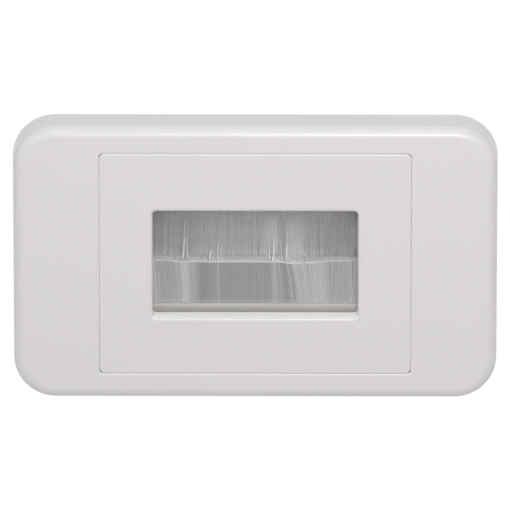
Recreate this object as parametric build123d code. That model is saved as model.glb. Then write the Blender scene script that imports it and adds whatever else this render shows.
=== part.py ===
from build123d import *
import math
import os

# Brush wall plate, in millimetres
# X runs along the plate, Z is up, the face looks along -Y and the wall is the plane Y = 0.
# A depth is a distance in front of the wall, so a negative depth lies inside the wall.

# Plate outside
plate_width = 117.0
plate_height = 70.0
plate_depth = 9.7
plate_corner = 10.4
side_draft = 1.5
face_round = 2.8
shell_wall = 1.8
wall_clearance = 0.2

# Window of the cover frame and the panel that fills it
window_width = 75.3
window_height = 56.4
window_corner = 1.0
window_edge_round = 0.45
panel_gap = 0.02
panel_corner = 1.4
panel_edge_round = 0.45
panel_thickness = 2.0
box_wall = 1.8
window_lip = 3.4
window_lip_wall = 1.3

# Brush opening
opening_width = 49.5
opening_height = 27.0
opening_drop = 0.15
opening_corner = 1.0
opening_edge_round = 1.0
collar_depth = 3.75
collar_wall = 1.8

# Flange of the mounting plate
flange_margin = 2.7
flange_corner = 8.0
flange_thickness = 2.4
flange_lip_width = 1.3
flange_lip_height = 1.8
rib_wall = 1.2
rib_gap = 1.3
rib_levels = (-25.0, -11.5, 11.5, 25.0)

# Fixing slots
fixing_centres = 84.0
slot_width = 4.2
slot_length = 7.0
pad_margin = 2.8
pad_height = 1.2

# Clip fit between the cover frame and the mounting plate
hook_centres = 50.0
hook_width = 8.0
hook_wall = 1.3
hook_end = 1.9
barb_height = 0.9
barb_reach = 0.6
catch_width = 9.6
catch_proud = 0.6
catch_length = 2.0
clip_clearance = 0.12
core_hole_clearance = 0.8
locating_rib_wall = 1.2
locating_clearance = 0.15
locating_rib_height = 5.0
locating_rib_level = 14.0
locating_rib_place = 39.0
pry_notch_width = 8.0
pry_notch_height = 1.1

# Strip brushes
sheet = 0.6
channel_depth = 5.0
channel_height = 6.0
channel_bend = 1.5
crimp_height = 1.5
crimp_inset = 0.35
channel_overhang = 3.1
channel_show = 2.05
core_radius = 0.6
filament_slip = 0.05
meeting_drop = 0.7
tip_overlap = 2.15
filament_inset = 1.4

# Seats and gaps inside
seat_gap = 0.1
strip_gap = 0.2
pocket_clearance = 0.15

# Brush retainer
retainer_thickness = 1.8
retainer_wall = 1.5
retainer_land = 1.4
retainer_lap = 1.0
retainer_edge_round = 0.5
retainer_corner = 3.0
ear_radius = 3.3
rest_rib_wall = 1.5
rest_rib_height = 3.0
rest_rib_root = 0.5
rest_rib_count = 5
rest_rib_spread = 48.0

# Retainer screws and their bosses
screw_spread = 40.0
screw_radius = 1.45
screw_length = 8.0
screw_hole_clearance = 0.05
screw_pass_clearance = 0.25
head_radius = 2.7
head_height = 1.7
head_round = 0.8
recess_width = 0.8
recess_length = 3.2
recess_depth = 1.0
boss_radius = 2.7
boss_clearance = 0.2
boss_hole_spare = 1.5
boss_web = 1.2

# How far a cut runs past the surface that it opens, and how closely an edge is picked
cut_spare = 1.0
pick = 0.01

# Places worked out from the sizes above
side = {"lower": -1, "upper": 1}
opening_z = -opening_drop
box_width = window_width - 2 * panel_gap
box_height = window_height - 2 * panel_gap
flange_width = plate_width - 2 * flange_margin
flange_height = plate_height - 2 * flange_margin
panel_back = plate_depth - panel_thickness
collar_end = plate_depth - collar_depth
shell_back = plate_depth - shell_wall
rib_front = plate_depth - window_lip - rib_gap

channel_length = opening_width + 2 * channel_overhang
filled_length = channel_length - 2 * filament_inset
core_height = channel_depth / 2
strip_depth = {"lower": collar_end - seat_gap - channel_depth / 2}
strip_depth["upper"] = strip_depth["lower"] - channel_depth - strip_gap
retainer_front = strip_depth["upper"] - channel_depth / 2 - seat_gap
retainer_back = retainer_front - retainer_thickness

floor_rise = opening_height / 2 - channel_show + channel_height
strip_floor = {name: opening_z + sign * floor_rise for name, sign in side.items()}
tips_z = {"lower": opening_z - meeting_drop}
tips_z["upper"] = tips_z["lower"] - tip_overlap
strip_trim = {name: abs(tips_z[name] - strip_floor[name]) - channel_height for name in side}

pocket_width = channel_length + 2 * pocket_clearance
pocket_height = 2 * (floor_rise + pocket_clearance)
screw_rise = pocket_height / 2 + retainer_wall + boss_clearance + boss_radius
screw_places = [
    (x * screw_spread / 2, opening_z + z * screw_rise)
    for x in (-1, 1)
    for z in (-1, 1)
]
rest_rib_pitch = rest_rib_spread / (rest_rib_count - 1)
rest_rib_places = [rest_rib_pitch * i - rest_rib_spread / 2 for i in range(rest_rib_count)]


# Ways of drawing
def ahead(depth):
    """The plane this far in front of the wall, seen from the front."""
    return Plane((0, -depth, 0), x_dir=(1, 0, 0), z_dir=(0, -1, 0))


def slab(sketch, back, front):
    """A sketch seen from the front, made solid between two depths."""
    return extrude(ahead(back) * sketch, amount=front - back)


def bar(section, length, centre=0):
    """A section with depth to the right and Z upwards, made solid along X about a centre."""
    across = Plane((centre, 0, 0), x_dir=(0, -1, 0), z_dir=(-1, 0, 0))
    return extrude(across * section, amount=length / 2, both=True)


def block(back, front, low, high, length, centre=0):
    """A plain rib or wall, by its depths, its levels and its length along X."""
    middle = ((back + front) / 2, (low + high) / 2)
    return bar(Pos(*middle) * Rectangle(front - back, high - low), length, centre)


def inset(depth):
    """How far the drafted sides have leaned in at this depth."""
    return depth * math.tan(math.radians(side_draft))


def drafted_block(margin, front, edge_round):
    """The plate's outside, or the hollow a margin inside it, with a soft edge round its face."""
    outline = RectangleRounded(plate_width - 2 * margin, plate_height - 2 * margin, plate_corner - margin)
    body = extrude(ahead(wall_clearance) * outline, amount=front - wall_clearance, taper=side_draft)
    face = body.faces().sort_by(Axis.Y)[0]
    return fillet(face.edges(), edge_round)


def window_outline(grow=0.0):
    return RectangleRounded(window_width + 2 * grow, window_height + 2 * grow, window_corner + grow)


def opening_outline(grow=0.0):
    outline = RectangleRounded(opening_width + 2 * grow, opening_height + 2 * grow, opening_corner + grow)
    return Pos(0, opening_z) * outline


def front_edges(solid, depth, outline):
    """The edges at this depth that run round an outline."""
    box = outline.bounding_box()
    reach = Pos(*box.center()) * Rectangle(box.size.X + 2 * pick, box.size.Y + 2 * pick)
    near = slab(reach, depth - pick, depth + pick)
    return solid.edges().filter_by(lambda edge: near.is_inside(edge.center()))


def both_ways(half):
    """A solid and its mirror image below the plate's middle."""
    return [half, mirror(half, about=Plane.XY)]


# Cover frame
def hook(x):
    """A tongue behind the upper edge of the window, with a barb that slips under a catch."""
    barb_z = box_height / 2 + clip_clearance
    inner = barb_z + barb_reach
    outer = inner + hook_wall
    root = shell_back + shell_wall / 2
    profile = Polyline(
        (root, inner),
        (hook_end + barb_height, inner),
        (hook_end + barb_height, barb_z),
        (hook_end + barb_height / 2, barb_z),
        (hook_end, inner),
        (hook_end, outer),
        (root, outer),
        close=True,
    )
    return bar(make_face(profile), hook_width, x)


def catch_room(x):
    """The space of a catch, kept clear of the window's lip."""
    back = hook_end + barb_height + clip_clearance
    front = back + catch_length + clip_clearance
    low = box_height / 2
    high = low + catch_proud + clip_clearance / 2
    return block(back, front, low, high, catch_width + 2 * clip_clearance, x)


def locating_ribs():
    """Short ribs inside the shell that centre it on the flange."""
    back = wall_clearance
    front = back + locating_rib_height
    ribs = []
    for end in (-1, 1):
        inner = end * (flange_width / 2 + locating_clearance)
        outer = end * (plate_width / 2 - shell_wall / 2 - inset(front))
        length = abs(outer - inner)
        for z in (-locating_rib_level, locating_rib_level):
            middle = (inner + outer) / 2
            reach = locating_rib_wall / 2
            ribs.append(block(back, front, z - reach, z + reach, length, middle))
    low = flange_height / 2 + locating_clearance
    high = plate_height / 2 - shell_wall / 2 - inset(front)
    for x in (-locating_rib_place, 0, locating_rib_place):
        ribs += both_ways(block(back, front, low, high, locating_rib_wall, x))
    return ribs


def make_cover_frame():
    outside = drafted_block(0, plate_depth, face_round)
    hollow = drafted_block(shell_wall, shell_back, max(face_round - shell_wall, shell_wall / 3))
    shell = outside - hollow
    lip = slab(window_outline(window_lip_wall), plate_depth - window_lip, shell_back + shell_wall / 2)
    shell = shell + lip - slab(window_outline(), 0, plate_depth + cut_spare)
    shell = fillet(front_edges(shell, plate_depth, window_outline()), window_edge_round)
    for x in (-hook_centres / 2, hook_centres / 2):
        shell -= both_ways(catch_room(x))
        shell += both_ways(hook(x))
    shell += locating_ribs()
    rim = -plate_height / 2
    notch_front = wall_clearance + pry_notch_height
    return shell - block(-cut_spare, notch_front, rim - cut_spare, rim + shell_wall, pry_notch_width)


# Mounting plate
def catch(x):
    """A ramp on the upper side of the box that the hook's barb slips over and rests behind."""
    wall = box_height / 2
    back = hook_end + barb_height + clip_clearance
    profile = Polyline(
        (back, wall - box_wall / 2),
        (back, wall + catch_proud),
        (back + catch_length / 4, wall + catch_proud),
        (back + catch_length, wall),
        (back + catch_length, wall - box_wall / 2),
        close=True,
    )
    return bar(make_face(profile), catch_width, x)


def core_hole(x):
    """The hole through the flange that the mould needs to form the catch in front of it."""
    low = box_height / 2
    high = low + clip_clearance + barb_reach + hook_wall + core_hole_clearance
    return block(-cut_spare, flange_thickness + cut_spare, low, high, catch_width, x)


def flange():
    outline = RectangleRounded(flange_width, flange_height, flange_corner)
    plate = slab(outline, 0, flange_thickness)
    inner = RectangleRounded(
        flange_width - 2 * flange_lip_width,
        flange_height - 2 * flange_lip_width,
        flange_corner - flange_lip_width,
    )
    plate += slab(outline - inner, flange_thickness, flange_thickness + flange_lip_height)
    for end in (-1, 1):
        length = (flange_width - box_width) / 2
        middle = end * (flange_width + box_width) / 4
        for z in rib_levels:
            plate += block(flange_thickness, rib_front, z - rib_wall / 2, z + rib_wall / 2, length, middle)
        pad = SlotOverall(slot_length + 2 * pad_margin, slot_width + 2 * pad_margin)
        pad = Pos(end * fixing_centres / 2, 0) * pad
        plate += slab(pad, flange_thickness, flange_thickness + pad_height)
    return plate


def boss(x, z):
    """A screw boss behind the panel, tied to the nearer wall of the box by a web."""
    post = slab(Pos(x, z) * Circle(boss_radius), retainer_front, panel_back)
    wall = math.copysign(box_height / 2 - box_wall / 2, z)
    return post + block(flange_thickness, panel_back, min(z, wall), max(z, wall), boss_web, x)


def screw_hole(x, z):
    depth = screw_length - retainer_thickness + boss_hole_spare
    bore = Pos(x, z) * Circle(screw_radius + screw_hole_clearance)
    return slab(bore, retainer_front - cut_spare, retainer_front + depth)


def upper_rest_ribs():
    """Ribs above the opening that the front of the upper channel rests on."""
    low = opening_z + opening_height / 2 + collar_wall / 4
    high = low + rest_rib_height
    back = strip_depth["upper"] + channel_depth / 2 + seat_gap
    return [block(back, panel_back, low, high, rest_rib_wall, x) for x in rest_rib_places]


def make_mounting_plate():
    outline = RectangleRounded(box_width, box_height, panel_corner)
    box = slab(outline, 0, plate_depth)
    box = fillet(front_edges(box, plate_depth, outline), panel_edge_round)
    plate = flange() + box
    inside = RectangleRounded(box_width - 2 * box_wall, box_height - 2 * box_wall, panel_corner)
    plate -= slab(inside, -cut_spare, panel_back)
    plate += slab(opening_outline(collar_wall), collar_end, panel_back)
    for place in screw_places:
        plate += boss(*place)
    plate += upper_rest_ribs()
    plate -= slab(opening_outline(), collar_end - cut_spare, plate_depth + cut_spare)
    plate = fillet(front_edges(plate, plate_depth, opening_outline()), opening_edge_round)
    for place in screw_places:
        plate -= screw_hole(*place)
    for x in (-hook_centres / 2, hook_centres / 2):
        plate += both_ways(catch(x))
        plate -= both_ways(core_hole(x))
    for end in (-1, 1):
        slot = Pos(end * fixing_centres / 2, 0) * SlotOverall(slot_length, slot_width)
        plate -= slab(slot, -cut_spare, flange_thickness + pad_height + cut_spare)
    return plate


# Brush retainer
def lower_rest_ribs():
    """Ribs below the window that push the lower channel forward against the collar."""
    low = strip_floor["lower"] + pocket_clearance
    high = low + rest_rib_height
    back = retainer_front - rest_rib_root
    front = strip_depth["lower"] - channel_depth / 2 - seat_gap
    return [block(back, front, low, high, rest_rib_wall, x) for x in rest_rib_places]


def make_brush_retainer():
    middle = Pos(0, opening_z)
    skirt = middle * RectangleRounded(
        pocket_width + 2 * retainer_wall, pocket_height + 2 * retainer_wall, retainer_corner
    )
    pocket = middle * Rectangle(pocket_width, pocket_height)
    land = middle * RectangleRounded(
        pocket_width + 2 * (retainer_wall + retainer_land),
        pocket_height + 2 * (retainer_wall + retainer_land),
        retainer_corner + retainer_land,
    )
    for x, z in screw_places:
        land += Pos(x, z) * Circle(ear_radius)
        land += Pos(x, (z + opening_z) / 2) * Rectangle(2 * ear_radius, abs(z - opening_z))
    plate = slab(land, retainer_back, retainer_front)
    plate += slab(skirt, retainer_front, collar_end + retainer_lap)
    plate -= slab(pocket, retainer_front, collar_end + retainer_lap + cut_spare)
    plate -= slab(opening_outline(), retainer_back - cut_spare, retainer_front + cut_spare)
    plate = fillet(front_edges(plate, retainer_back, opening_outline()), retainer_edge_round)
    plate += lower_rest_ribs()
    for x, z in screw_places:
        passage = Pos(x, z) * Circle(screw_radius + screw_pass_clearance)
        plate -= slab(passage, retainer_back - cut_spare, retainer_front + cut_spare)
    return plate


# Strip brushes
def placed_strip(section, name, length):
    """A strip's section, drawn upwards from the channel's floor, set at its own depth and floor."""
    if name == "upper":
        section = mirror(section, about=Plane.XZ)
    return bar(Pos(strip_depth[name], strip_floor[name]) * section, length)


def channel_section():
    """Folded sheet, crimped in towards its mouth."""
    half = (channel_depth - sheet) / 2
    path = FilletPolyline(
        (-half + crimp_inset, channel_height),
        (-half, channel_height - crimp_height),
        (-half, sheet / 2),
        (half, sheet / 2),
        (half, channel_height - crimp_height),
        (half - crimp_inset, channel_height),
        radius=channel_bend,
    )
    return trace(path, line_width=sheet)


def core_section(radius):
    return Pos(0, core_height) * Circle(radius)


def bristle_section(trim):
    """Filaments folded round the core wire, pinched by the channel and fanned out to the tips."""
    fold = channel_depth / 2 - sheet - filament_slip
    neck = fold - crimp_inset
    tip = channel_depth / 2
    crimp = channel_height - crimp_height - channel_bend / 2
    outline = Polyline(
        (fold, core_height),
        (fold, crimp),
        (neck, channel_height),
        (tip, channel_height + trim),
        (-tip, channel_height + trim),
        (-neck, channel_height),
        (-fold, crimp),
        (-fold, core_height),
    )
    round_end = ThreePointArc((-fold, core_height), (0, core_height - fold), (fold, core_height))
    return make_face([*outline.edges(), round_end]) - core_section(core_radius + filament_slip)


# Retainer screws
def retainer_screw(x, z):
    tip = slab(Pos(x, z) * Circle(screw_radius), retainer_back, retainer_back + screw_length)
    head = slab(Pos(x, z) * Circle(head_radius), retainer_back - head_height, retainer_back)
    head = fillet(head.edges().sort_by(Axis.Y)[-1], head_round)
    cross = Pos(x, z) * (Rectangle(recess_length, recess_width) + Rectangle(recess_width, recess_length))
    recess = slab(cross, retainer_back - head_height, retainer_back - head_height + recess_depth)
    return head + tip - recess


def pieces():
    yield "cover_frame", make_cover_frame()
    yield "mounting_plate", make_mounting_plate()
    yield "brush_retainer", make_brush_retainer()
    for name in side:
        yield f"{name}_channel", placed_strip(channel_section(), name, channel_length)
        yield f"{name}_core_wire", placed_strip(core_section(core_radius), name, channel_length)
        yield f"{name}_bristles", placed_strip(bristle_section(strip_trim[name]), name, filled_length)
    yield "retainer_screws", Compound([retainer_screw(*place) for place in screw_places])


os.makedirs("parts", exist_ok=True)
for node, shape in pieces():
    export_step(shape, f"parts/{node}.step")
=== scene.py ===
import math
import bpy
import numpy as np
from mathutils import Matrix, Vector


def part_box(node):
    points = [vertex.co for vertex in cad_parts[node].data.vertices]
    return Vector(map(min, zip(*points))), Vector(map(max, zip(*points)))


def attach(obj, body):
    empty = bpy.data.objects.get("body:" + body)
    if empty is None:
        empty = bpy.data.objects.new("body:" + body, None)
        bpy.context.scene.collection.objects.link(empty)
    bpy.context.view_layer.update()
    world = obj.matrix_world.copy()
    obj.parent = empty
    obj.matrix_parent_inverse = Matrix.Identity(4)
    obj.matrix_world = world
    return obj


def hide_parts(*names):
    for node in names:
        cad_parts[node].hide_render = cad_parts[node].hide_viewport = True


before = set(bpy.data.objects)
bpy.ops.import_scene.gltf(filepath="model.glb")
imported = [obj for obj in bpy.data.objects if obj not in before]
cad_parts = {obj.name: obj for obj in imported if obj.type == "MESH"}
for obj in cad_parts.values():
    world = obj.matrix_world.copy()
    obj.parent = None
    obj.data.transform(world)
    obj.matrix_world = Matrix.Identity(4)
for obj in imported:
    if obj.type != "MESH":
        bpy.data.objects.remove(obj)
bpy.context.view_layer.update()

# Brush wall plate: camera, light, materials and the filaments of its two strip brushes, in metres
mm = 0.001

# Camera
image_pixels = 510
pixels_per_mm = 4.134
camera_azimuth = math.radians(0.28)
camera_elevation = math.radians(20.0)
camera_distance = 3.15
sensor_width = 36.0
aim_left = 0.07 * mm
aim_down = 1.05 * mm
clip_near = 0.05
clip_far = 50.0

# Lamps, floor and world
world_level = 0.54
floor_level = -0.42
floor_half = 3.0
floor_lift = 0.56
# Each lamp's azimuth and elevation in degrees, distance, width and height in metres, and power in watts
lamps = {
    "key": (8.5, 28.0, 0.45, 0.164, 0.115, 0.78),
    "top": (0.0, 60.0, 0.70, 0.63, 0.63, 0.88),
    "left": (-70.0, 10.0, 1.0, 0.7, 0.7, 1.0),
    "right": (70.0, 10.0, 1.0, 0.7, 0.7, 0.36),
}

# Window of the cover frame and brush opening
window_width = 75.3 * mm
window_height = 56.4 * mm
opening_width = 49.5 * mm
opening_height = 27.0 * mm

# Painted light: the ledges of the opening and the seam round the window are painted paler, to lift their
# shade.
# How far behind the face it starts and is full, where it ends beside and above the opening, how far it
# reaches round the seam, its soft edge
ledge_start = 0.25 * mm
ledge_full = 1.0 * mm
ledge_inset = 0.25 * mm
ledge_reach = 1.5 * mm
seam_start = 0.05 * mm
seam_full = 0.35 * mm
seam_reach = 0.4 * mm
pale_soft = 0.3 * mm

# How far above or below the middle the channels' lips are painted bright, as a painted highlight on their
# bend
lip_highlight_full = 12.0 * mm
lip_highlight_end = 12.55 * mm

# Filaments: tubes laid in layers, from the core wire outwards. Each is a golden ratio's fraction further out
# than the one before, and starts again at the inside, so that neighbours lie well apart
seed = 11
filament_count = 2300
filament_radius = 0.15 * mm
tip_radius = 0.17 * mm
tube_sides = 3
tube_turn = math.pi / 6
layer_step = 0.618034
outer_bias = 0.6
wander = 0.015 * mm
slip = 0.07 * mm
fold_points = 3

# Legs, from the channel's mouth to the cut tips: the places of their rings, the pack's half depth in the
# mouth, how its spread and lean grow, and how much the filaments differ
front_levels = {"lower": (0.1, 0.5, 0.967, 0.98, 1.0), "upper": (0.12, 0.27, 0.69, 0.86, 1.0)}
rear_levels = (0.5, 0.97, 1.0)
neck_half = 1.5 * mm
flare_power = 0.8
lean_power = 1.4
layer_scatter = 0.012
lean_scatter = 0.025 * mm
cut_scatter = 0.04 * mm

# The lower strip's front: how far its tips stand out, how much less they do near its ends, and where the
# opening's side wall sweeps them back
front_splay = 0.8
end_narrowing = 0.3
narrow_left = -19.0 * mm
narrow_right = 16.5 * mm
narrow_soft = 0.5 * mm
swept_from = 23.5 * mm
swept_soft = 0.12 * mm
swept_share = 0.4

# Sideways lean and uneven cut. Ripples are (size, length, phase) and bends are (place, half width, size), all
# in mm but the phase. Partings are the places where the lower filaments lean apart
lean_ripples = ((0.2, 17.0, 0.4), (0.06, 5.3, 1.9))
cut_ripples = ((0.02, 9.0, 0.7), (0.01, 2.3, 2.2))
combed = ((11.0, 7.0, -1.2), (-20.0, 5.0, -0.9))
dips = ((12.0, 4.0, 0.42),)
partings = (-18.6, 7.9, 9.6, 11.6, 13.2, 18.2)
parting_lean = 0.07 * mm
parting_reach = 0.7 * mm

# Tone of the nylon, with painted light and shade. The upper strip is painted darker towards its ends, as
# shade, and changes from its mouth to its tips, painted lighter near its mouth and its tips to lift the shade
# there
nylon_clearness = {"lower": 0.4, "upper": 0.5}
lower_shade = 0.645
upper_shade = 0.786
darkest = 0.05
lightest = 0.98
tone_scatter = 0.012
tone_ripples = ((0.007, 0.83, 0.3), (0.012, 2.37, 2.0))
upper_middle = -3.5 * mm
upper_middle_half = 16.0 * mm
upper_ends = 0.83
upper_middle_gain = 0.14
upper_root_gain = 0.1
upper_rises = (0.2, 0.3, 0.42, 0.75, 0.89)
upper_gains = (1.45, 1.36, 1.06, 1.08, 1.18)
nylon_tint = (1.0, 0.99, 0.975)
cool_tint = (-0.02, 0.0, 0.035)
cool_place = 8.0 * mm
cool_half = 6.0 * mm

# Whitened nylon and painted light: the tone that cuts and painted light go to, and how white each ring of a
# filament is, where ring 0 is its front tip and ring -1 its rear one. Cut tips are partly whiter from the cut
# and partly painted light; tips inside the pack get more painted light, the lower pack's front edge between
# its left and right ends a painted highlight, and the nylon in the channel's mouth painted light over its
# shade
cut_and_light_tone = 0.95
cap_share = 0.8
mouth_painted_light = 0.45
mouth_light_reach = 0.04
tip_white_and_light = {0: 0.55, -2: 0.25, -1: 0.6}
inner_painted_light = 0.27
front_white_and_light = {"lower": {1: 0.25}, "upper": {1: 0.35, 2: 0.08}}
edge_painted_highlights = {0: 0.8, 1: 0.5}
edge_share = 0.85
edge_left = -14.0 * mm
edge_left_soft = 0.3 * mm
edge_right = 12.0 * mm
edge_right_soft = 0.5 * mm
glint_rings = [1, -2, -1]

# Long single filaments: their depth as a share of the pack's, how early they flare, and the ring whose tone
# they take
stray_depth = 0.75
stray_flare = 1.4
stray_tone_ring = 3

# Tones and long filaments along the strips, in mm from the middle. Zones and streaks are painted light and
# shade:
# lighter where clumps catch the light, darker in the gaps between them, and lighter at the ends where the
# side walls' shadow falls. Zones are (start, softness, gain) after the first zone's tone, streaks and painted
# glints on the tips are (place, half width, gain), and strays are (place, height above the tips, lean,
# radius)
first_zone = 1.17
lower_zones = (
    (-18.3, 0.2, 0.08),
    (-14.3, 0.3, -0.25),
    (10.1, 0.2, 0.37),
    (17.5, 0.3, -0.18),
    (21.8, 0.15, 0.06),
    (23.4, 0.1, 0.2),
)
lower_streaks = (
    (-24.1, 0.4, 0.25),
    (-23.4, 0.9, 0.12),
    (-18.5, 0.25, 0.1),
    (-16.8, 0.9, 0.16),
    (-12.4, 1.2, -0.06),
    (-8.8, 0.35, 0.2),
    (5.0, 0.8, 0.24),
    (6.5, 0.1, 0.8),
    (7.8, 0.5, -0.07),
    (9.0, 0.25, 0.3),
    (9.7, 0.25, -0.05),
    (11.8, 0.14, -0.22),
    (13.7, 0.14, -0.18),
    (18.3, 0.1, -0.12),
    (22.8, 0.5, 0.05),
)
tip_glints = (
    (-17.6, 1.6, 0.7),
    (-10.0, 1.4, 0.5),
    (3.6, 1.2, 0.7),
    (10.2, 2.2, 0.6),
)
upper_streaks = (
    (-23.0, 4.0, 0.06),
    (4.0, 1.6, 0.34),
    (3.8, 0.7, 0.1),
    (6.8, 0.5, -0.12),
    (9.6, 2.8, 0.3),
    (14.3, 2.0, 0.06),
    (25.0, 1.6, 0.6),
)
strays = (
    (-17.85, 1.7, 0.4, 0.17),
    (-17.45, 10.0, 0.5, 0.08),
    (-17.4, 5.9, 0.35, 0.13),
    (-16.0, 5.7, -0.8, 0.08),
    (-16.4, 2.3, 0.0, 0.1),
    (-11.2, 2.6, 0.6, 0.22),
    (-9.1, 4.6, 0.05, 0.13),
    (2.85, 2.3, -0.1, 0.1),
    (3.45, 2.3, 0.1, 0.15),
    (4.35, 5.4, 0.05, 0.17),
    (4.6, 4.4, 0.0, 0.15),
    (4.2, 1.0, -0.1, 0.15),
    (6.5, 1.3, 0.0, 0.13),
    (7.6, 3.6, 0.0, 0.15),
    (7.65, 8.0, 0.1, 0.08),
    (8.2, 1.5, 0.1, 0.1),
    (14.2, 2.8, 0.1, 0.08),
)


def linear(value):
    """A display value from 0 to 255 as light."""
    v = value / 255
    return v / 12.92 if v <= 0.04045 else ((v + 0.055) / 1.055) ** 2.4


def colour(red, green, blue):
    return (linear(red), linear(green), linear(blue), 1.0)


def direction(azimuth, elevation):
    """From the plate towards a place in front of it, both angles in radians."""
    return Vector((
        math.sin(azimuth) * math.cos(elevation),
        -math.cos(azimuth) * math.cos(elevation),
        math.sin(elevation),
    ))


def link_object(name, data):
    thing = bpy.data.objects.new(name, data)
    bpy.context.scene.collection.objects.link(thing)
    return thing


# Camera
def make_camera():
    back = direction(camera_azimuth, camera_elevation)
    turn = (-back).to_track_quat("-Z", "Y")
    aim = turn @ Vector((-aim_left, -aim_down, 0))
    data = bpy.data.cameras.new("camera")
    data.sensor_width = sensor_width
    data.lens = pixels_per_mm * (camera_distance / mm) * sensor_width / image_pixels
    data.clip_start = clip_near
    data.clip_end = clip_far
    camera = link_object("camera", data)
    camera.location = aim + back * camera_distance
    camera.rotation_mode = "QUATERNION"
    camera.rotation_quaternion = turn
    bpy.context.scene.camera = camera


# Lamps, floor and world
def make_lamp(name, azimuth, elevation, distance, width, height, power):
    data = bpy.data.lights.new(name, "AREA")
    data.shape = "RECTANGLE"
    data.size = width
    data.size_y = height
    data.energy = power
    lamp = link_object(name, data)
    back = direction(math.radians(azimuth), math.radians(elevation))
    lamp.location = back * distance
    lamp.rotation_mode = "QUATERNION"
    lamp.rotation_quaternion = (-back).to_track_quat("-Z", "Y")


def seen_plainly(nodes, links):
    """1 where the ray comes from the camera, from a gloss or through glass, and 0 for light on the object."""
    path = nodes.new("ShaderNodeLightPath")
    total = path.outputs["Is Camera Ray"]
    for kind in ("Is Glossy Ray", "Is Transmission Ray"):
        add = nodes.new("ShaderNodeMath")
        add.operation = "MAXIMUM"
        links.new(total, add.inputs[0])
        links.new(path.outputs[kind], add.inputs[1])
        total = add.outputs[0]
    return total


def make_world():
    world = bpy.data.worlds.new("studio")
    world.use_nodes = True
    nodes = world.node_tree.nodes
    links = world.node_tree.links
    nodes.clear()
    light = nodes.new("ShaderNodeBackground")
    light.inputs["Color"].default_value = colour(255, 254, 255)
    light.inputs["Strength"].default_value = world_level
    white = nodes.new("ShaderNodeBackground")
    white.inputs["Color"].default_value = (1, 1, 1, 1)
    white.inputs["Strength"].default_value = 1
    mix = nodes.new("ShaderNodeMixShader")
    links.new(seen_plainly(nodes, links), mix.inputs[0])
    links.new(light.outputs[0], mix.inputs[1])
    links.new(white.outputs[0], mix.inputs[2])
    output = nodes.new("ShaderNodeOutputWorld")
    links.new(mix.outputs[0], output.inputs["Surface"])
    bpy.context.scene.world = world


def make_floor():
    sides = ((-1, -1), (1, -1), (1, 1), (-1, 1))
    corners = [(floor_half * x, floor_half * y, floor_level) for x, y in sides]
    mesh = bpy.data.meshes.new("floor")
    mesh.from_pydata(corners, [], [(0, 1, 2, 3)])
    floor = link_object("floor", mesh)
    pale = bpy.data.materials.new("floor_pale")
    pale.use_nodes = True
    nodes = pale.node_tree.nodes
    links = pale.node_tree.links
    nodes.clear()
    plain = nodes.new("ShaderNodeBsdfDiffuse")
    plain.inputs["Color"].default_value = colour(232, 231, 232)
    lift = nodes.new("ShaderNodeEmission")
    strength = nodes.new("ShaderNodeMath")
    strength.operation = "MULTIPLY"
    strength.inputs[1].default_value = floor_lift
    links.new(seen_plainly(nodes, links), strength.inputs[0])
    links.new(strength.outputs[0], lift.inputs["Strength"])
    both = nodes.new("ShaderNodeAddShader")
    links.new(plain.outputs[0], both.inputs[0])
    links.new(lift.outputs[0], both.inputs[1])
    output = nodes.new("ShaderNodeOutputMaterial")
    links.new(both.outputs[0], output.inputs["Surface"])
    mesh.materials.append(pale)


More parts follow.
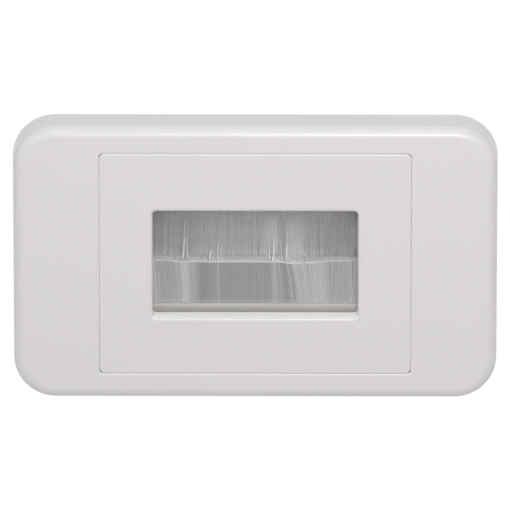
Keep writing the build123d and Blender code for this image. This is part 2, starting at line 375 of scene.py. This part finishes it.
# Materials
class Look:
    """A node material with one principled shader, and short ways of adding patterns to it. The base colour
    and roughness given first are the plain values, round which the patterns vary."""

    def __init__(self, name, base, roughness, metallic=0.0):
        self.material = bpy.data.materials.new(name)
        self.material.use_nodes = True
        self.nodes = self.material.node_tree.nodes
        self.links = self.material.node_tree.links
        self.shader = self.nodes["Principled BSDF"]
        self.shader.inputs["Base Color"].default_value = base
        self.shader.inputs["Roughness"].default_value = roughness
        self.shader.inputs["Metallic"].default_value = metallic
        self.place = self.nodes.new("ShaderNodeTexCoord").outputs["Object"]
        self.height = None

    def stretched(self, x, y, z):
        """Coordinates squeezed along each axis, for grain that runs one way."""
        mapping = self.nodes.new("ShaderNodeMapping")
        mapping.inputs["Scale"].default_value = (x, y, z)
        self.links.new(self.place, mapping.inputs["Vector"])
        return mapping.outputs[0]

    def noise(self, scale, detail, vector=None):
        texture = self.nodes.new("ShaderNodeTexNoise")
        texture.inputs["Scale"].default_value = scale
        texture.inputs["Detail"].default_value = detail
        self.links.new(vector or self.place, texture.inputs["Vector"])
        return texture.outputs[0]

    def axis(self, name):
        """One coordinate of the place, in metres."""
        parts = self.nodes.new("ShaderNodeSeparateXYZ")
        self.links.new(self.place, parts.inputs[0])
        return parts.outputs[name]

    def math(self, operation, first, second=None):
        node = self.nodes.new("ShaderNodeMath")
        node.operation = operation
        self.links.new(first, node.inputs[0])
        if isinstance(second, float):
            node.inputs[1].default_value = second
        elif second is not None:
            self.links.new(second, node.inputs[1])
        return node.outputs[0]

    def within(self, value, limit, soft):
        """1 below a limit and 0 above it, with a soft change between."""
        return self.spread(value, 1, 0, limit, limit + soft)

    def cells(self, scale):
        texture = self.nodes.new("ShaderNodeTexVoronoi")
        texture.inputs["Scale"].default_value = scale
        self.links.new(self.place, texture.inputs["Vector"])
        return texture.outputs["Distance"]

    def spread(self, value, low, high, start=0.3, end=0.7):
        """The pattern's middle range spread over new limits."""
        ranged = self.nodes.new("ShaderNodeMapRange")
        ranged.inputs["From Min"].default_value = start
        ranged.inputs["From Max"].default_value = end
        ranged.inputs["To Min"].default_value = low
        ranged.inputs["To Max"].default_value = high
        self.links.new(value, ranged.inputs["Value"])
        return ranged.outputs[0]

    def blend(self, value, first, second):
        mix = self.nodes.new("ShaderNodeMix")
        mix.data_type = "RGBA"
        self.links.new(value, mix.inputs[0])
        for socket, tone in ((mix.inputs[6], first), (mix.inputs[7], second)):
            if isinstance(tone, tuple):
                socket.default_value = tone
            else:
                self.links.new(tone, socket)
        return mix.outputs[2]

    def base(self, tone):
        self.links.new(tone, self.shader.inputs["Base Color"])

    def roughness(self, value):
        self.links.new(value, self.shader.inputs["Roughness"])

    def bump(self, value, distance):
        """Adds relief, on top of any added before."""
        node = self.nodes.new("ShaderNodeBump")
        node.inputs["Distance"].default_value = distance
        node.inputs["Strength"].default_value = 1
        self.links.new(value, node.inputs["Height"])
        if self.height:
            self.links.new(self.height, node.inputs["Normal"])
        self.height = node.outputs[0]
        self.links.new(self.height, self.shader.inputs["Normal"])


def ledge_painted_light_mask(look, out, up, behind):
    """1 on the ledges inside the brush opening, where a paler colour is painted as light."""
    mask = look.within(out, opening_width / 2 - ledge_inset, pale_soft)
    mask = look.math("MULTIPLY", mask, look.within(up, opening_height / 2 + ledge_reach, pale_soft))
    return look.math("MULTIPLY", mask, look.spread(behind, 0, 1, ledge_start, ledge_full))


def seam_painted_light_mask(look, out, up, behind):
    """1 in the seam between the cover frame's window and the panel that fills it, where a paler colour is
    painted as light.
    """
    from_sides = look.math("ABSOLUTE", look.math("SUBTRACT", out, window_width / 2))
    from_ends = look.math("ABSOLUTE", look.math("SUBTRACT", up, window_height / 2))
    mask = look.within(look.math("MINIMUM", from_sides, from_ends), seam_reach, pale_soft)
    mask = look.math("MULTIPLY", mask, look.within(out, window_width / 2 + seam_reach, pale_soft))
    mask = look.math("MULTIPLY", mask, look.within(up, window_height / 2 + seam_reach, pale_soft))
    return look.math("MULTIPLY", mask, look.spread(behind, 0, 1, seam_start, seam_full))


def make_white_plastic():
    """Glossy moulded plastic: faint flow waviness, a fine skin texture and a slight warm drift, with painted
    light in the seam and on the ledges, which are painted paler to lift their shade."""
    look = Look("white_plastic", colour(218, 215, 216), roughness=0.3)
    drift = look.spread(look.noise(scale=14, detail=1), low=0, high=1)
    skin = look.blend(drift, colour(218.4, 215.4, 216.3), colour(217.6, 214.5, 215.3))
    out = look.math("ABSOLUTE", look.axis("X"))
    up = look.math("ABSOLUTE", look.axis("Z"))
    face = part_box("mounting_plate")[0].y
    behind = look.math("SUBTRACT", look.axis("Y"), face)
    # Painted light: the seam and the ledges inside the opening are painted paler, to lift the shade there.
    skin = look.blend(seam_painted_light_mask(look, out, up, behind), skin, colour(240, 239, 239))
    look.base(look.blend(ledge_painted_light_mask(look, out, up, behind), skin, colour(252, 252, 251)))
    look.roughness(look.spread(look.noise(scale=90, detail=2), low=0.28, high=0.3))
    look.bump(look.noise(scale=40, detail=0), distance=0.004 * mm)
    look.bump(look.noise(scale=3600, detail=1), distance=0.0006 * mm)
    return look.material


def make_retainer_plastic():
    """Plainer plastic inside: a matt spark-textured skin."""
    look = Look("retainer_plastic", colour(208, 207, 205), roughness=0.5)
    drift = look.spread(look.noise(scale=60, detail=3), low=0, high=1)
    look.base(look.blend(drift, colour(210, 209, 206), colour(203, 202, 199)))
    look.roughness(look.spread(look.noise(scale=700, detail=4), low=0.45, high=0.6))
    look.bump(look.cells(scale=4200), distance=0.005 * mm)
    return look.material


def make_channel_metal():
    """Rolled sheet: fine lines along its length and a few dull patches, and a painted highlight that makes
    its lip lighter than the face below.
    """
    look = Look("channel_metal", colour(176, 174, 171), roughness=0.5, metallic=0.35)
    lines = look.noise(scale=1, detail=4, vector=look.stretched(120, 9000, 9000))
    patches = look.spread(look.noise(scale=220, detail=3), low=0, high=1)
    dull = look.blend(patches, colour(152, 150, 147), colour(146, 144, 141))
    up = look.math("ABSOLUTE", look.axis("Z"))
    # Painted highlight: the lip at each channel's mouth is painted lighter than the channel's face.
    lip = look.within(up, lip_highlight_full, lip_highlight_end - lip_highlight_full)
    look.base(look.blend(lip, dull, colour(171, 169, 167)))
    look.roughness(look.spread(lines, low=0.42, high=0.56))
    look.bump(lines, distance=0.002 * mm)
    return look.material


def make_core_steel():
    """Drawn wire: lines along it and a thin grey oxide."""
    look = Look("core_steel", colour(150, 150, 152), roughness=0.4, metallic=1.0)
    lines = look.noise(scale=1, detail=3, vector=look.stretched(200, 12000, 12000))
    oxide = look.spread(look.noise(scale=900, detail=4), low=0, high=1)
    look.base(look.blend(oxide, colour(158, 158, 160), colour(112, 110, 110)))
    look.roughness(look.spread(lines, low=0.3, high=0.5))
    look.bump(lines, distance=0.002 * mm)
    return look.material


def make_screw_steel():
    """Zinc plate: a slight tint that drifts, and a fine crystalline skin."""
    look = Look("screw_steel", colour(190, 190, 186), roughness=0.32, metallic=1.0)
    tint = look.spread(look.noise(scale=500, detail=3), low=0, high=1)
    look.base(look.blend(tint, colour(196, 196, 190), colour(172, 176, 182)))
    look.roughness(look.spread(look.noise(scale=3000, detail=3), low=0.24, high=0.42))
    look.bump(look.cells(scale=9000), distance=0.002 * mm)
    return look.material


def make_nylon():
    """Grey nylon. Each filament carries its own tone, painted light and shade included, and how much light
    passes through it as the alpha.
    """
    look = Look("nylon", colour(170, 169, 170), roughness=0.34)
    shade = look.nodes.new("ShaderNodeAttribute")
    shade.attribute_name = "shade"
    lengthways = look.stretched(9000, 9000, 900)
    grain = look.spread(look.noise(scale=1, detail=3, vector=lengthways), low=0.92, high=1.04)
    toned = look.nodes.new("ShaderNodeVectorMath")
    toned.operation = "SCALE"
    look.links.new(shade.outputs["Color"], toned.inputs[0])
    look.links.new(grain, toned.inputs["Scale"])
    look.base(toned.outputs[0])
    look.roughness(look.spread(look.noise(scale=4000, detail=2), low=0.28, high=0.42))
    through = look.nodes.new("ShaderNodeBsdfTranslucent")
    look.links.new(toned.outputs[0], through.inputs["Color"])
    mix = look.nodes.new("ShaderNodeMixShader")
    look.links.new(shade.outputs["Alpha"], mix.inputs[0])
    look.links.new(look.shader.outputs[0], mix.inputs[1])
    look.links.new(through.outputs[0], mix.inputs[2])
    look.links.new(mix.outputs[0], look.nodes["Material Output"].inputs["Surface"])
    return look.material


def dress(node, material):
    """Puts a material in every slot of a CAD node."""
    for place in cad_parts[node].material_slots:
        place.material = material


# Bristles
def wave(x, length, phase):
    return np.sin(2 * math.pi * x / length + phase)


def bell(x, centre, half):
    return np.exp(-((x - centre) / half) ** 2)


def step(x, edge, soft):
    """0 before an edge and 1 past it, with a soft change between."""
    return 1 / (1 + np.exp(-(x - edge) / soft))


def bends(x, places):
    """Bells of given place, half width and size, added up."""
    return sum(size * bell(x, place * mm, half * mm) for place, half, size in places)


def streaked(level, x, streaks, share):
    """A tone with its streaks, each at a share of its gain."""
    for place, half, gain in streaks:
        level = level * (1 + gain * bell(x, place * mm, half * mm) * share)
    return level


class Strip:
    """Where one strip brush is, from the boxes of its nodes. Heights are taken from the core wire."""

    def __init__(self, name):
        channel_low, channel_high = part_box(f"{name}_channel")
        core_low, core_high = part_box(f"{name}_core_wire")
        low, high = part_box(f"{name}_bristles")
        self.name = name
        self.up = 1 if name == "lower" else -1
        self.left = low.x + tip_radius
        self.right = high.x - tip_radius
        self.y = (channel_low.y + channel_high.y) / 2
        self.z = (core_low.z + core_high.z) / 2
        mouth = channel_high.z if self.up > 0 else channel_low.z
        tips = high.z if self.up > 0 else low.z
        root = low.z if self.up > 0 else high.z
        self.half_depth = (high.y - low.y) / 2
        self.mouth = abs(mouth - self.z)
        self.tips = abs(tips - self.z)
        self.inner = (core_high.z - core_low.z) / 2 + slip + filament_radius
        self.outer = abs(root - self.z) - filament_radius

    def placed(self, local):
        """Points given as place along the strip, depth from its middle and height from its core wire."""
        paths = np.array(local, float)
        paths[..., 1] = self.y + paths[..., 1]
        paths[..., 2] = self.z + self.up * paths[..., 2]
        return paths


def filament_paths(strip, rng):
    """Points of every filament, from its front tip round the core wire to its rear tip."""
    count = filament_count
    x = np.linspace(strip.left, strip.right, count)
    x = np.clip(x + rng.uniform(-wander, wander, count), strip.left, strip.right)
    layer = np.arange(count) * layer_step % 1
    radius = strip.inner + layer * (strip.outer - strip.inner)
    front = leg_points(strip, rng, x, layer ** outer_bias, radius, -1)
    rear = leg_points(strip, rng, x, layer, radius, 1)
    fold = []
    for i in range(fold_points):
        angle = math.pi * (i + 1) / (fold_points + 1)
        fold.append((x, -radius * math.cos(angle), -radius * math.sin(angle)))
    points = front[::-1] + fold + rear
    return np.array(points).transpose(2, 0, 1), x


def leg_points(strip, rng, x, layer, radius, side):
    """One leg, from the core wire's side out of the mouth to the cut tip. The front side is -1."""
    count = len(x)
    length = strip.tips - strip.mouth
    across = (neck_half - filament_radius) * layer
    reach = (strip.half_depth - tip_radius) * np.clip(layer + rng.normal(0, layer_scatter, count), 0, 1)
    spread = reach * splay(strip, x, side) * (1 - swept_share * swept_back(strip, x, side)) - across
    lean = lean_of(strip, x) + rng.normal(0, lean_scatter, count)
    trim = np.abs(rng.normal(0, cut_scatter, count)) + trim_of(strip, x)
    points = [
        (x, side * radius, np.zeros(count)),
        (x, side * across, np.full(count, strip.mouth)),
    ]
    for t in front_levels[strip.name] if side < 0 else rear_levels:
        height = strip.mouth + (length - trim) * t
        moved = np.clip(x + lean * t ** lean_power, strip.left, strip.right)
        points.append((moved, side * (across + spread * t ** flare_power), height))
    return points


def swept_back(strip, x, side):
    """The lower strip's front filaments are pushed back at its right end, by the opening's side wall."""
    if strip.name == "upper" or side > 0:
        return 0.0
    return step(x, swept_from, swept_soft)


def splay(strip, x, side):
    """How much of their full spread the tips have: the lower strip's front is narrower near its ends."""
    if strip.name == "upper" or side > 0:
        return 1.0
    near_ends = step(x, narrow_right, narrow_soft) + 1 - step(x, narrow_left, narrow_soft)
    return front_splay - end_narrowing * near_ends


def lean_of(strip, x):
    """Sideways travel of the tips, from combing and from passing cables."""
    drift = mm * sum(size * wave(x, length * mm, phase) for size, length, phase in lean_ripples)
    if strip.name == "upper":
        return drift
    drift = drift + mm * bends(x, combed)
    for place in partings:
        beside = x - place * mm
        drift = drift + parting_lean * np.sign(beside) * np.exp(-np.abs(beside) / parting_reach)
    return drift


def trim_of(strip, x):
    """How much shorter the filaments are cut: unevenly, and in the lower strip's dip, worn by cables."""
    uneven = mm * sum(size * (1 + wave(x, length * mm, phase)) for size, length, phase in cut_ripples)
    if strip.name == "upper":
        return uneven
    return uneven + mm * bends(x, dips)


def levels_of(strip, rng, x, rise):
    """How light the clear nylon is painted, from 0 to 1, at every ring of every filament, painted light and
    shade included.
    """
    place = x[:, None]
    if strip.name == "lower":
        zone = first_zone
        for start, soft, gain in lower_zones:
            zone = zone + gain * step(place, start * mm, soft * mm)
        level = streaked(lower_shade * zone, place, lower_streaks, 1)
    else:
        # Painted shade and light: the upper strip is darker towards its ends and lighter near its mouth and
        # its tips.
        middle = bell(place, upper_middle, upper_middle_half)
        at_ends = upper_ends + upper_root_gain * (1 - rise) * (1 - middle)
        level = upper_shade * (at_ends + upper_middle_gain * middle)
        level = streaked(level * np.interp(rise, upper_rises, upper_gains), place, upper_streaks, rise)
    fine = sum(gain * wave(place, length * mm, phase) for gain, length, phase in tone_ripples)
    own = rng.normal(1, tone_scatter, len(x))[:, None]
    return np.clip(level * (1 + fine) * own * np.ones_like(rise), darkest, lightest)


def cut_white_and_light_of(strip, x, rise, depth):
    """How white the nylon is painted, from 0 to 1: at the cut tips, partly from the cut and partly painted
    light, with a painted highlight along the lower strip's front edge where the pack is full, painted glints
    on its tips, and painted light where the channel's mouth shades it."""
    # Painted light: the nylon at the channel's mouth is painted whiter, to lift the shade of the crevice
    # there.
    cut_white_and_light = mouth_painted_light * bell(rise, strip.mouth / strip.tips, mouth_light_reach)
    # Cut tips are painted whiter, partly from the cut and partly as painted light; inner tips and front rings
    # get more painted light.
    for ring, share in tip_white_and_light.items():
        inside = np.clip(1 - np.abs(depth[:, ring]) / strip.half_depth, 0, 1)
        cut_white_and_light[:, ring] = share + inner_painted_light * inside
    for ring, share in front_white_and_light[strip.name].items():
        cut_white_and_light[:, ring] = share
    # Painted highlight: the lower strip's outermost front tips are painted white as a bright line, and
    # tip_glints paint glints on the tips.
    if strip.name == "lower":
        outermost = -depth[:, 0] > edge_share * strip.half_depth * splay(strip, x, -1)
        full = step(x, edge_left, edge_left_soft) * (1 - step(x, edge_right, edge_right_soft)) * outermost
        for ring, share in edge_painted_highlights.items():
            cut_white_and_light[:, ring] += (share - cut_white_and_light[:, ring]) * full
        cut_white_and_light[:, glint_rings] += (1 - cut_white_and_light[:, glint_rings]) * bends(x, tip_glints)[:, None]
    return cut_white_and_light


def toned(level, cut_white_and_light, cool, clearness):
    """Colour and clearness for levels of plain nylon, how far it is whitened by cuts and by painted light,
    and how blue.
    """
    tone = level + (cut_and_light_tone - level) * cut_white_and_light
    channels = [tone * (plain + change * cool) for plain, change in zip(nylon_tint, cool_tint)]
    return np.stack(channels + [clearness * (1 - cut_white_and_light)], axis=-1)


def stray_paths(strip, rings):
    """Filaments of the lower strip that were left longer than the rest."""
    paths = []
    for place, height, lean, _ in strays:
        t = np.linspace(0, 1, rings)
        z = strip.mouth + (strip.tips - strip.mouth + height * mm) * t
        x = place * mm + lean * mm * np.clip((z - strip.tips) / (height * mm), -1, 1)
        flare = np.minimum(t * stray_flare, 1) ** flare_power
        half = neck_half + (strip.half_depth * splay(strip, x, -1) - neck_half) * flare
        paths.append(np.stack([x, -stray_depth * half, z], axis=-1))
    return np.array(paths)


def tube_corners(paths, radii):
    """The corners round every point of every path, square to the path there."""
    along = np.gradient(paths, axis=1)
    along /= np.linalg.norm(along, axis=2, keepdims=True)
    first = np.zeros_like(along)
    first[:, :, 0] = 1
    second = np.cross(along, first)
    second /= np.linalg.norm(second, axis=2, keepdims=True)
    first = np.cross(second, along)
    corners = []
    for i in range(tube_sides):
        angle = 2 * math.pi * i / tube_sides + tube_turn
        corners.append(paths + radii[:, :, None] * (math.cos(angle) * first + math.sin(angle) * second))
    return np.stack(corners, axis=2)


def tube_faces(count, rings):
    """The tubes' side faces, and their end faces on corners of their own that follow the rest."""
    sides = tube_sides
    start = (np.arange(count)[:, None, None] * rings + np.arange(rings - 1)[None, :, None]) * sides
    i = np.arange(sides)[None, None, :]
    j = (i + 1) % sides
    quads = np.stack([start + i, start + j, start + sides + j, start + sides + i], axis=-1).reshape(-1, 4)
    cut = count * rings * sides + np.arange(count)[:, None] * 2 * sides
    caps = np.concatenate([cut + np.arange(sides)[::-1], cut + sides + np.arange(sides)])
    return quads, caps


def tube_mesh(name, paths, radii, values):
    """Tubes of few sides along the paths, shaded round, with a flat cut at each end, painted paler partly as
    a cut and partly as painted light.
    """
    count, rings, _ = paths.shape
    tube = tube_corners(paths, radii)
    ends = np.stack([tube[:, 0], tube[:, -1]], axis=1)
    verts = np.concatenate([tube.reshape(-1, 3), ends.reshape(-1, 3)])
    quads, caps = tube_faces(count, rings)
    mesh = bpy.data.meshes.new(name)
    mesh.from_pydata(verts.tolist(), [], quads.tolist() + caps.tolist())
    smooth = np.ones(len(mesh.polygons), bool)
    smooth[len(quads):] = False
    mesh.polygons.foreach_set("use_smooth", smooth)
    # Painted light: the end caps are painted paler, partly as whiter cuts and partly as light on the tips.
    cuts = values[:, [0, -1]]
    cuts = cuts + (toned(cut_and_light_tone, 1.0, 0.0, 0.0) - cuts) * cap_share
    values = np.concatenate([values.reshape(-1, 4), cuts.reshape(-1, 4)])
    values = np.repeat(values, tube_sides, axis=0)
    attribute = mesh.color_attributes.new("shade", "FLOAT_COLOR", "POINT")
    attribute.data.foreach_set("color", values.astype(np.float32).ravel())
    mesh.update()
    return mesh


def make_bristles(name, material):
    strip = Strip(name)
    rng = np.random.default_rng(seed + strip.up)
    local, x = filament_paths(strip, rng)
    rise = np.clip(local[:, :, 2] / strip.tips, 0, 1)
    levels = levels_of(strip, rng, x, rise)
    cut_whites_and_light = cut_white_and_light_of(strip, x, rise, local[:, :, 1])
    cool = bell(x[:, None], cool_place, cool_half) * rise ** 2 * (name == "upper")
    radii = np.full(levels.shape, filament_radius)
    radii[:, [0, -1]] = tip_radius
    if name == "lower":
        long = stray_paths(strip, local.shape[1])
        above = long[:, :, 2] > strip.tips
        beside = levels[np.searchsorted(x, long[:, 0, 0]), stray_tone_ring]
        widths = np.array([radius * mm for _, _, _, radius in strays])
        local = np.concatenate([local, long])
        levels = np.concatenate([levels, beside[:, None] * np.ones_like(above)])
        # Painted highlight: the strays are painted white above the tips.
        cut_whites_and_light = np.concatenate([cut_whites_and_light, above * 1.0])
        cool = np.concatenate([cool, np.zeros(above.shape)])
        radii = np.concatenate([radii, widths[:, None] * np.ones_like(above)])
    values = toned(levels, cut_whites_and_light, cool, nylon_clearness[name])
    mesh = tube_mesh(f"{name}_filaments", strip.placed(local), radii, values)
    mesh.materials.append(material)
    piece = link_object(f"{name}_filaments", mesh)
    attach(piece, "root")
    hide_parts(f"{name}_bristles")


make_camera()
make_world()
make_floor()
for lamp_name, lamp_sizes in lamps.items():
    make_lamp(lamp_name, *lamp_sizes)

white_plastic = make_white_plastic()
channel_metal = make_channel_metal()
core_steel = make_core_steel()
dress("cover_frame", white_plastic)
dress("mounting_plate", white_plastic)
dress("brush_retainer", make_retainer_plastic())
dress("retainer_screws", make_screw_steel())
nylon = make_nylon()
for strip_name in ("lower", "upper"):
    dress(f"{strip_name}_channel", channel_metal)
    dress(f"{strip_name}_core_wire", core_steel)
    make_bristles(strip_name, nylon)

bpy.context.scene.view_settings.view_transform = "Standard"
